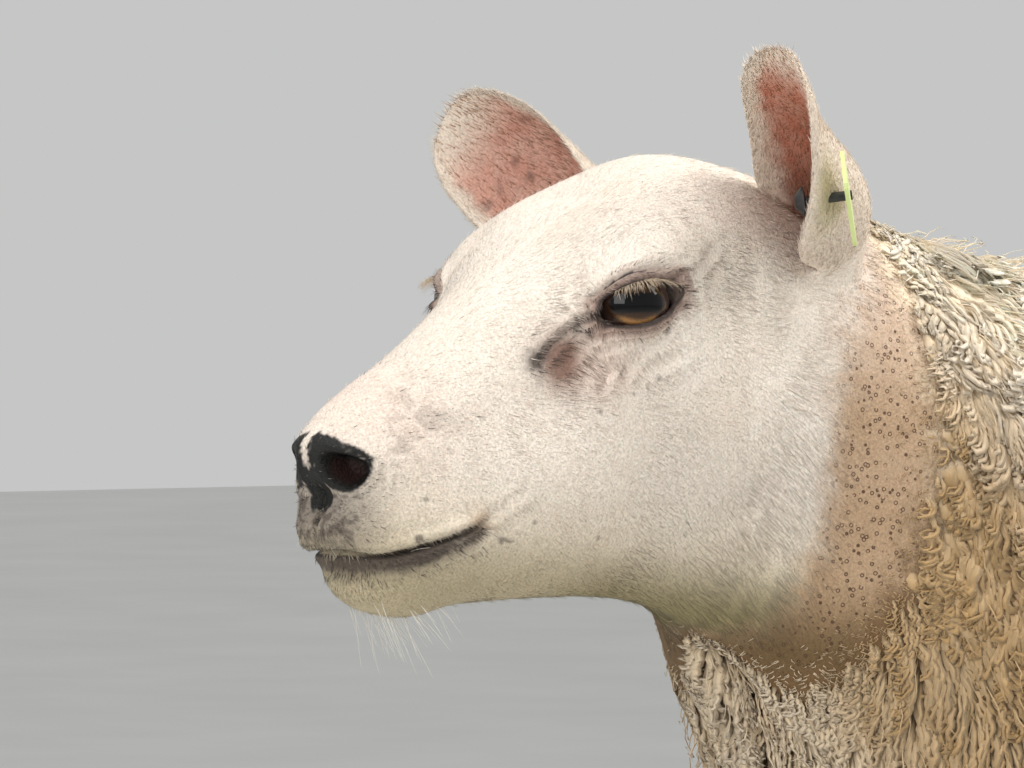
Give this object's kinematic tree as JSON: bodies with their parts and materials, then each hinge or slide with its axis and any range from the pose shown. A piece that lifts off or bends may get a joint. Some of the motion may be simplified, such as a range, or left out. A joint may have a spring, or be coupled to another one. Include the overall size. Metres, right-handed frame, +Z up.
{
  "type": "sheep",
  "caption": "Standing adult sheep of a heavy white-faced breed with full curly fleece, bare face, head raised and turned to its left, and a blank ear tag.",
  "frame": {"origin": "on the floor under the middle of the whole box", "axes": "the trunk lies along Y with the head end at -Y, +X is the sheep's left side, and +Z is up"},
  "size_m": [0.432, 1.2938, 0.909],
  "materials": {
    "face": "short white hair over pale skin, matt; black bare skin at the nose",
    "wool": "cream crimped wool in hanging locks, matt",
    "ear": "thin pink skin with fine white hair outside",
    "shank": "short white hair, matt",
    "horn": "dark hoof horn, faintly ridged, satin",
    "eye": "wet amber-brown eye with a level bar pupil",
    "tag_black": "black moulded plastic",
    "tag_green": "yellow-green moulded plastic, blank"
  },
  "bodies": {
    "root": {"head": "face", "neck": "wool", "trunk": "wool", "tail": "wool", "ear_left": "ear", "eye_left": "eye", "foreleg_left": "shank", "hindleg_left": "shank", "hoof_fore_left_inner": "horn", "dewclaw_fore_left_inner": "horn", "hoof_fore_left_outer": "horn", "dewclaw_fore_left_outer": "horn", "hoof_hind_left_inner": "horn", "dewclaw_hind_left_inner": "horn", "hoof_hind_left_outer": "horn", "dewclaw_hind_left_outer": "horn", "ear_right": "ear", "eye_right": "eye", "foreleg_right": "shank", "hindleg_right": "shank", "hoof_fore_right_inner": "horn", "dewclaw_fore_right_inner": "horn", "hoof_fore_right_outer": "horn", "dewclaw_fore_right_outer": "horn", "hoof_hind_right_inner": "horn", "dewclaw_hind_right_inner": "horn", "hoof_hind_right_outer": "horn", "dewclaw_hind_right_outer": "horn", "ear_tag_button": "tag_black", "ear_tag_panel": "tag_green"}
  },
  "joints": []
}
